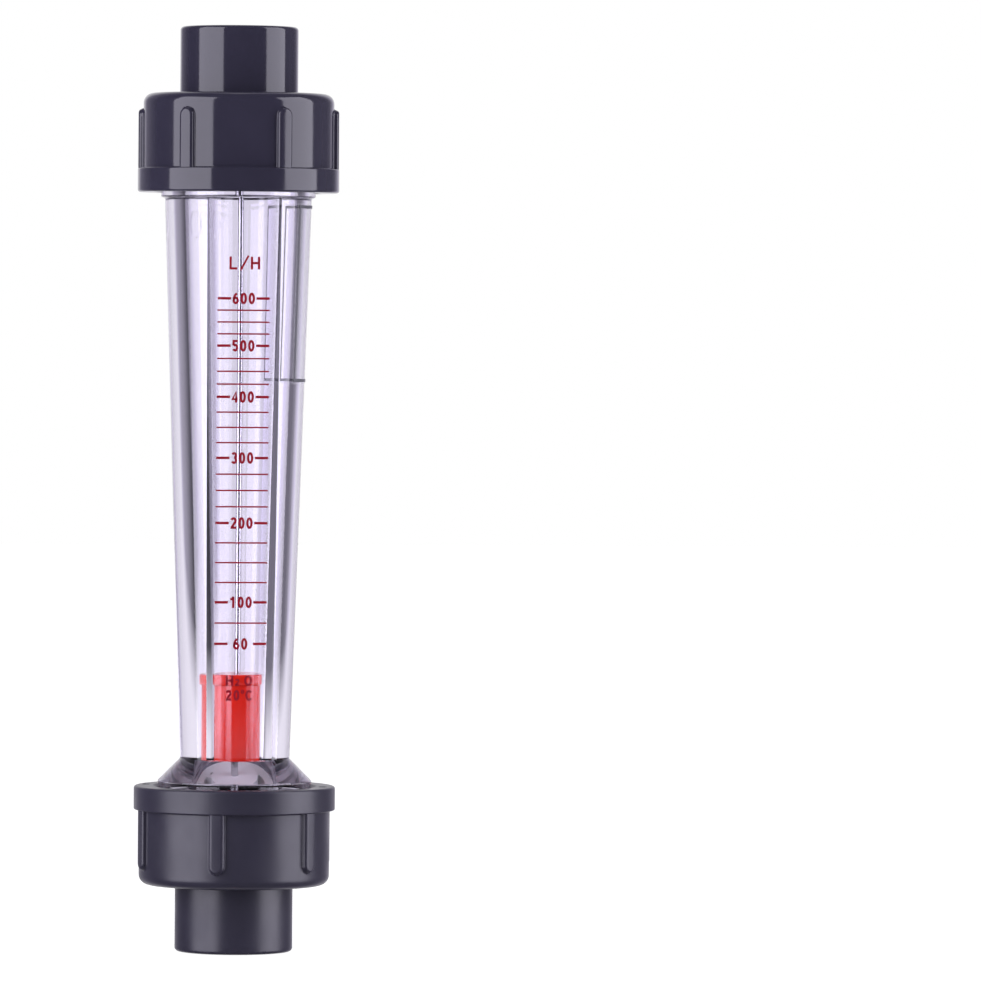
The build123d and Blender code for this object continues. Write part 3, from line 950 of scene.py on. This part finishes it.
# Each word, its left edge, step, foot and top in millimetres, its share of the pen's width and its
# letters' width
WORDS = (
    ("L", -3.25, 0, 150.95, 153.75, 1.0, 1.1),
    ("/", -0.75, 0, 150.95, 153.75, 0.8, 1.1),
    ("H", 1.45, 0, 150.95, 153.75, 1.0, 1.22),
    ("H", -3.1, 0, 59.25, 61.55, 0.9, 1.15),
    ("2", -1.05, 0, 59.25, 60.75, 0.65, 1.1),
    ("O", 0.95, 0, 59.25, 61.55, 0.9, 1.25),
    ("20", -3.1, 1.75, 56.0, 58.3, 0.9, 0.98),
    ("o", 0.45, 0, 57.5, 58.35, 0.5, 1.0),
    ("C", 1.25, 0, 56.0, 58.3, 0.9, 1.15),
)


class FLOWMETER_OT_flow_scale(bpy.types.Operator):
    """Print the flow scale on the flat face"""
    bl_idname = "flowmeter.flow_scale"
    bl_label = "Flow scale"

    def execute(self, context):
        p = settings().print_
        half = p.width / 2
        grids = []
        for (value, height), (next_value, next_height) in zip(SCALE_HEIGHTS, SCALE_HEIGHTS[1:]):
            # Three lines between two numbers, but one above the last
            parts = 2 if next_value == 60 else 4
            for k in range(1, parts):
                z = (height + (next_height - height) * k / parts) * MM
                grids.append(bar_on_flat(-half, half, z - p.minor / 2, z + p.minor / 2, p.ink))
        for value, height in SCALE_HEIGHTS:
            z = height * MM
            for left, right in ((-half, -half + p.dash), (half - p.dash, half)):
                grids.append(bar_on_flat(left, right, z - p.major / 2, z + p.major / 2, p.ink))
            digits, narrow = str(value), 0.94
            low, high = z - p.digit / 2, z + p.digit / 2
            start = -(len(digits) - 1) / 2 * p.digit_step - GLYPH_WIDTH / 2 * p.digit * narrow
            grids += lettering(digits, start, p.digit_step, low, high, p.pen, p.ink, narrow)
        for text, *places, weight, narrow in WORDS:
            left, step, low, high = [value * MM for value in places]
            grids += lettering(text, left, step, low, high, p.pen * weight, p.ink, narrow)
        made = piece("scale_print_piece", grids, finish_of("scale_ink"), "tube")
        made.data.polygons.foreach_set("use_smooth", np.zeros(len(made.data.polygons), bool))
        return {"FINISHED"}


def curved_sheet(start, sweep, low, high, gap, thickness, columns, rows):
    """Closed thin shell on the tapered body, at the body's radius plus the gap and plus the thickness: out
    along one face, back along the other, and closed at its lower and upper edges."""
    share = np.linspace(0, 1, columns)
    azimuth = start + sweep * np.concatenate([share, share[::-1]])
    offset = np.concatenate([np.full(columns, gap + thickness), np.full(columns, gap)])
    height = np.linspace(low, high, rows)[:, None]
    faces = place(tube_radius(height) + offset[None, :], azimuth[None, :], height)
    ends = [place(tube_radius(z) + gap + thickness / 2, azimuth, z)[None] for z in (low, high)]
    return np.concatenate([ends[0], faces, ends[1]])


class FLOWMETER_OT_film_label(bpy.types.Operator):
    """Make the clear film label with its printed frame"""
    bl_idname = "flowmeter.film_label"
    bl_label = "Film label"

    def execute(self, context):
        p = settings().print_
        high = top_shoulder() - p.label_drop
        low = high - p.label_height
        film = curved_sheet(p.label_start, p.label_sweep, low, high, p.label_gap, p.label_film, 60, 12)
        piece("label_film_piece", [film], finish_of("label_film"), "tube", ["label_film"])
        out = p.label_gap + p.label_film + INK_GAP
        inset, line = 0.5 * MM, p.frame_width
        edge, wide = inset / tube_radius(high), line / tube_radius(high)
        start, sweep = p.label_start + edge, p.label_sweep - 2 * edge
        low, high = low + inset, high - inset
        bands = [
            curved_sheet(start, wide, low, high, out, p.ink, 4, 12),
            curved_sheet(start + sweep - wide, wide, low, high, out, p.ink, 4, 12),
            curved_sheet(start + wide, sweep - 2 * wide, low, low + line, out, p.ink, 60, 3),
            curved_sheet(start + wide, sweep - 2 * wide, high - line, high, out, p.ink, 60, 3),
        ]
        piece("label_frame_piece", bands, finish_of("frame_ink"), "tube")
        return {"FINISHED"}


def guide_rod_grid():
    """Guide rod: circles up the axis between two poles. At both ends a thread's wave and a rounded chamfer
    are taken off the radius."""
    r, s = settings().rod, settings().stack
    tip = tube_end() + 0.05 * MM - r.tail
    end = s.overall - tip
    thread, pitch, chamfer = 3 * MM, 0.45 * MM, 0.3 * MM
    heights = np.concatenate([
        np.linspace(tip, tip + thread, 40), np.linspace(tip + 3.5 * MM, end - 3.5 * MM, 60),
        np.linspace(end - thread, end, 40),
    ])[:, None]
    azimuth = ring_angles(48)[None, :]
    off_end = np.minimum(heights - tip, end - heights)
    threaded = 1 - ease(off_end, 2.6 * MM, thread)
    ridge = (0.07 * thread_wave(heights, azimuth, pitch) - 0.08) * MM * threaded
    rod = place(r.radius + ridge - chamfer * (1 - ease(off_end, 0, chamfer)), azimuth, heights)
    poles = [place(np.zeros_like(azimuth), azimuth, height) for height in (tip, end)]
    return np.concatenate([poles[0], rod, poles[1]])


def rod_nut_grid(face):
    """Domed hexagon nut, pointing down from its face. The hexagon's radius is half its width over the
    cosine of the azimuth from the middle of a flat, and a half sphere closes it."""
    r = settings().rod
    azimuth = ring_angles(96)[None, :]
    half, body = r.nut_flats / 2, r.nut_height
    flats = half / np.cos(np.mod(azimuth, TURN / 6) - TURN / 12)
    rows = [(np.full_like(flats, r.radius), 0.0), (np.minimum(flats, half), 0.0),
            (np.minimum(flats, half * 1.13), 0.15 * MM), (flats, 0.3 * MM), (flats, body - 0.3 * MM),
            (np.minimum(flats, half * 1.1), body - 0.1 * MM), (np.minimum(flats, half), body)]
    for rise in np.linspace(0, math.pi / 2, 14):
        rows.append((np.full_like(flats, r.dome * math.cos(rise)), body + r.dome * math.sin(rise)))
    bore_end = r.tail - r.washer_height - 0.15 * MM
    rows += [(np.zeros_like(flats), body + r.dome * 0.999), (np.zeros_like(flats), bore_end),
             (np.full_like(flats, r.radius), bore_end)]
    return np.concatenate([place(radius, azimuth, face - down) for radius, down in rows])


class FLOWMETER_OT_guide_rod(bpy.types.Operator):
    """Make the guide rod, its washers, nuts and bumpers"""
    bl_idname = "flowmeter.guide_rod"
    bl_label = "Guide rod"

    def execute(self, context):
        r = settings().rod
        seat, hole = tube_end(), r.radius + 0.05 * MM
        face = seat - r.washer_height
        piece("guide_rod_piece", [guide_rod_grid()], finish_of("steel"), "tube", ["guide_rod"])
        hubs = (("upper", True, r.upper_hub), ("lower", False, r.lower_hub + r.bumper_lift))
        for name, upper, hub in hubs:
            foot = seat + hub
            top = foot + r.bumper_height
            washer = turned([
                (hole, face, 0.05 * MM), (r.washer, face, 0.12 * MM), (r.washer, seat, 0.12 * MM),
                (hole, seat, 0.05 * MM),
            ], 0.5 * MM, 64)
            bumper = turned([
                (hole, foot, 0.1 * MM), (r.bumper, foot, 0.35 * MM), (r.bumper, top, 0.35 * MM),
                (hole, top, 0.2 * MM),
            ], 0.5 * MM, 64)
            for kind, grid, finish, slot in (
                    ("washer", washer, "steel", "steel"), ("bumper", bumper, "rubber", "black_rubber"),
                    ("rod_nut", rod_nut_grid(face), "steel", "steel")):
                piece(f"{name}_{kind}_piece", [at_end(grid, upper)], finish_of(finish), "tube",
                      [f"{name}_{kind}"])
        return {"FINISHED"}


class FLOWMETER_OT_rod_stops(bpy.types.Operator):
    """Finish the two spoked rod stops"""
    bl_idname = "flowmeter.rod_stops"
    bl_label = "Rod stops"

    def execute(self, context):
        for name in ("upper_stop", "lower_stop"):
            dress(name, "stop_white")
        return {"FINISHED"}


class FLOWMETER_OT_float(bpy.types.Operator):
    """Make the red float"""
    bl_idname = "flowmeter.float"
    bl_label = "Float"

    def execute(self, context):
        f, r = settings().float_, settings().rod
        low = tube_end() + r.lower_hub + r.bumper_lift + r.bumper_height
        top = low + f.length_
        seat = top - f.collar_height
        bore, tube, inner = r.radius + 0.1 * MM, 2 * r.radius, f.body - 1.2 * MM
        floor = low + 4.4 * MM
        body = turned([
            (bore, low, 0.15 * MM), (f.nose, low, 0.15 * MM), (f.body, low + f.nose_length, 0.15 * MM),
            (f.body, seat, 0.15 * MM), (inner, seat, 0), (inner, floor, 0), (tube, floor, 0),
            (tube, seat, 0), (bore, seat, 0),
        ], 1.5 * MM, 160)
        piece("float_body_piece", [body], finish_of("float_red"), "float", ["float_body"])
        web, play = seat - 1.45 * MM, 0.05 * MM
        cap = turned([
            (bore, seat, 0), (tube + play, seat, 0), (tube + play, web, 0), (inner - play, web, 0),
            (inner - play, seat, 0), (f.collar, seat, 0.25 * MM), (f.collar, top, 0.4 * MM),
            (bore, top, 0.15 * MM),
        ], 1.5 * MM, 160)
        piece("float_cap_piece", [cap], finish_of("float_red"), "float", ["float_cap"])
        dress("float_core", "steel")
        return {"FINISHED"}


# Stage

# Brightness of the studio by azimuth in degrees
STUDIO = (
    (-180, 0.95), (-165, 0.95), (-160, 0.62), (-156, 0.44), (-151, 0.36), (-143, 0.3), (-136, 0.2),
    (-130, 0.13), (-122, 0.05), (-104, 0.04), (-97, 0.1), (-37, 0.1), (-33, 0.05), (44, 0.05), (50, 0.1),
    (95, 0.1), (102, 0.2), (115, 0.19), (127, 0.14), (138, 0.26), (144, 0.54), (148, 0.62), (154, 0.87),
    (160, 0.95), (180, 0.95),
)


def softbox(name, azimuth_from, azimuth_to, distance, low, high, radiance, tint):
    """Area light seen from the object between two azimuths and two heights, turned towards the axis. Its
    width is twice the distance times the tangent of half the angle, its power pi times radiance and area."""
    middle, half = (azimuth_from + azimuth_to) / 2, (azimuth_to - azimuth_from) / 2
    lamp = bpy.data.lights.new(name, "AREA")
    lamp.shape = "RECTANGLE"
    lamp.size = 2 * distance * math.tan(half)
    lamp.size_y = high - low
    lamp.color = tint
    lamp.energy = radiance * math.pi * lamp.size * lamp.size_y
    holder = bpy.data.objects.new(name, lamp)
    holder.location = (distance * math.sin(middle), -distance * math.cos(middle), (low + high) / 2)
    holder.rotation_euler = (math.pi / 2, 0, middle)
    holder.visible_camera = False
    bpy.context.scene.collection.objects.link(holder)
    return holder


class FLOWMETER_OT_stage(bpy.types.Operator):
    """Set the floor, the studio light and the camera"""
    bl_idname = "flowmeter.stage"
    bl_label = "Stage"

    def execute(self, context):
        g = settings().stage
        scene = context.scene
        scene.view_settings.view_transform = "Standard"
        corners = [(x, y, g.floor_height) for x, y in ((-3, -3), (3, -3), (3, 3), (-3, 3))]
        floor = bpy.data.objects.new("floor", bpy.data.meshes.new("floor"))
        floor.data.from_pydata(corners, [], [(0, 1, 2, 3)])
        scene.collection.objects.link(floor)
        floor.data.materials.append(self.floor_material())
        distance, low, high, tint = 0.9, -0.35, 1.1, (1.0, 0.97, 1.1)
        for name, start, end in (("left_softbox", -90.7, -36.7), ("right_softbox", 48.3, 94.3)):
            softbox(name, math.radians(start), math.radians(end), distance, low, high, g.box_light, tint)
        self.world(scene, g)
        self.camera(scene, g)
        return {"FINISHED"}

    def floor_material(self):
        """White paper floor: white to the camera but for the object's shadow, and out of the way of the
        rays that mirrors and clear pieces send on, which see the studio in its place. Near the object, and
        behind it between two soft side edges, the rays of clear pieces see paper."""
        material, tree, main, output = shader_nodes("white_floor")
        feed(tree, main, {
            "Base Color": two_tones(tree, noise(tree, 300.0, 3.0), (0.93, 0.93, 0.93), 0.01),
            "Roughness": 0.9,
        })
        shade = node(tree, "ShaderNodeBsdfDiffuse", {"Color": (0.3, 0.3, 0.3, 1)}).outputs["BSDF"]
        glow = node(tree, "ShaderNodeEmission", {"Strength": 0.93}).outputs["Emission"]
        lit = node(tree, "ShaderNodeAddShader", {0: shade, 1: glow}).outputs["Shader"]
        paper = node(tree, "ShaderNodeEmission", {"Color": (0.95, 0.925, 0.99, 1)}).outputs["Emission"]
        clear = tree.nodes.new("ShaderNodeBsdfTransparent").outputs["BSDF"]
        here = own_place(tree)
        across, back = apart(tree, here)["X"], apart(tree, here)["Y"]
        between = maths(tree, "MULTIPLY", limits(tree, across, -0.85, -0.5), limits(tree, across, 0.8, 0.5))
        near = limits(tree, span(tree, here), 0.5, 0.35)
        reached = maths(tree, "MAXIMUM", limits(tree, back, 0.0, 0.2), near)
        covered = maths(tree, "MULTIPLY", between, reached)
        path = tree.nodes.new("ShaderNodeLightPath").outputs
        sent_on = maths(tree, "MAXIMUM", path["Is Glossy Ray"], path["Is Transmission Ray"])
        surface = mixed(tree, sent_on, main.outputs["BSDF"], clear)
        surface = mixed(tree, path["Is Camera Ray"], surface, lit)
        through = maths(tree, "MULTIPLY", covered, path["Is Transmission Ray"])
        tree.links.new(mixed(tree, through, surface, paper), output.inputs["Surface"])
        return material

    def world(self, scene, g):
        """Room that is white to the camera; glossy and transmitted rays see white behind and below the
        object, dark gaps beside it, and a dim room in front, as in a photographer's studio."""
        world = bpy.data.worlds.new("studio")
        scene.world = world
        world.use_nodes = True
        tree = world.node_tree
        tree.nodes.clear()
        output = tree.nodes.new("ShaderNodeOutputWorld")
        towards = apart(tree, tree.nodes.new("ShaderNodeTexCoord").outputs["Generated"])
        ahead = maths(tree, "MULTIPLY", towards["Y"], -1.0)
        azimuth = maths(tree, "ARCTAN2", towards["X"], ahead)
        ramp = node(tree, "ShaderNodeValToRGB", {"Fac": limits(tree, azimuth, -math.pi, math.pi)})
        stops = self.studio_stops()
        elements = ramp.color_ramp.elements
        elements[0].position, elements[0].color = stops[0]
        elements[1].position, elements[1].color = stops[-1]
        for position, shade in stops[1:-1]:
            elements.new(position).color = shade
        plain_white = (1, 1, 1, 1)
        lights = ((ramp.outputs["Color"], 1.0), (plain_white, g.room_light), (plain_white, 1.0))
        studio, room, white = [
            node(tree, "ShaderNodeBackground", {"Color": tone, "Strength": strength}).outputs["Background"]
            for tone, strength in lights
        ]
        path = tree.nodes.new("ShaderNodeLightPath").outputs
        sent_on = maths(tree, "MAXIMUM", path["Is Glossy Ray"], path["Is Transmission Ray"])
        seen = mixed(tree, sent_on, room, studio)
        tree.links.new(mixed(tree, path["Is Camera Ray"], seen, white), output.inputs["Surface"])

    def studio_stops(self):
        """Places and colours of the studio's ramp: azimuth as a share of a full turn from the back round by
        the left. Its dark parts are a bit violet."""
        stops = []
        for degrees, value in STUDIO:
            green, blue = (0.94, 1.15) if value < 0.9 else (0.985, 1.03)
            shade = (value, value * green, min(1.0, value * blue), 1)
            stops.append(((degrees + 180) / 360, shade))
        return stops

    def camera(self, scene, g):
        """Camera at the photograph's place: looks level at the axis, then turns right, down and rolls."""
        lens = bpy.data.cameras.new("camera")
        lens.lens = g.lens
        lens.sensor_width = 36.0
        lens.clip_end = 20.0
        camera = bpy.data.objects.new("camera", lens)
        scene.collection.objects.link(camera)
        scene.camera = camera
        ahead, aside = g.distance * math.cos(g.azimuth), g.distance * math.sin(g.azimuth)
        camera.location = (aside, -ahead, g.eye_height)
        camera.rotation_mode = "XYZ"
        heading = Matrix.Rotation(g.azimuth - g.yaw, 3, "Z")
        tilt = Matrix.Rotation(math.pi / 2 - g.pitch, 3, "X")
        roll = Matrix.Rotation(g.roll, 3, "Z")
        camera.rotation_euler = (heading @ tilt @ roll).to_euler("XYZ")


class FLOWMETER_PT_sidebar(bpy.types.Panel):
    """Lists the flow meter's pieces in the sidebar"""
    bl_idname = "FLOWMETER_PT_sidebar"
    bl_label = "Water Flow Meter"
    bl_space_type = "VIEW_3D"
    bl_region_type = "UI"
    bl_category = "Flow Meter"

    def draw(self, context):
        for operator in OPERATORS:
            self.layout.operator(operator.bl_idname)
        for group in ("stack", "socket", "nut", "tube", "rod", "float_", "print_", "finish", "stage"):
            box = self.layout.box()
            values = getattr(context.scene.flow_meter, group)
            for key in values.bl_rna.properties.keys():
                if key not in ("rna_type", "name"):
                    box.prop(values, key)


OPERATORS = (FLOWMETER_OT_stage, FLOWMETER_OT_measuring_tube, FLOWMETER_OT_flow_scale,
             FLOWMETER_OT_film_label, FLOWMETER_OT_union_nuts, FLOWMETER_OT_pipe_sockets,
             FLOWMETER_OT_guide_rod, FLOWMETER_OT_rod_stops, FLOWMETER_OT_float)
GROUPS = (StackSizes, SocketSizes, NutSizes, TubeSizes, RodSizes, FloatSizes, PrintSizes, Finishes,
          StageSettings, FlowMeter)
CLASSES = GROUPS + OPERATORS + (FLOWMETER_PT_sidebar,)


def register():
    """Registers the settings, operators and panel."""
    for item in CLASSES:
        bpy.utils.register_class(item)
    bpy.types.Scene.flow_meter = PointerProperty(type=FlowMeter)


def unregister():
    """Takes the settings, operators and panel away again."""
    del bpy.types.Scene.flow_meter
    for item in reversed(CLASSES):
        bpy.utils.unregister_class(item)


def main():
    """Builds the stage and every piece in order."""
    register()
    bpy.ops.flowmeter.stage()
    bpy.ops.flowmeter.measuring_tube()
    bpy.ops.flowmeter.flow_scale()
    bpy.ops.flowmeter.film_label()
    bpy.ops.flowmeter.union_nuts()
    bpy.ops.flowmeter.pipe_sockets()
    bpy.ops.flowmeter.guide_rod()
    bpy.ops.flowmeter.rod_stops()
    bpy.ops.flowmeter.float()
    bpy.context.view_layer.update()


if __name__ == "__main__":
    main()
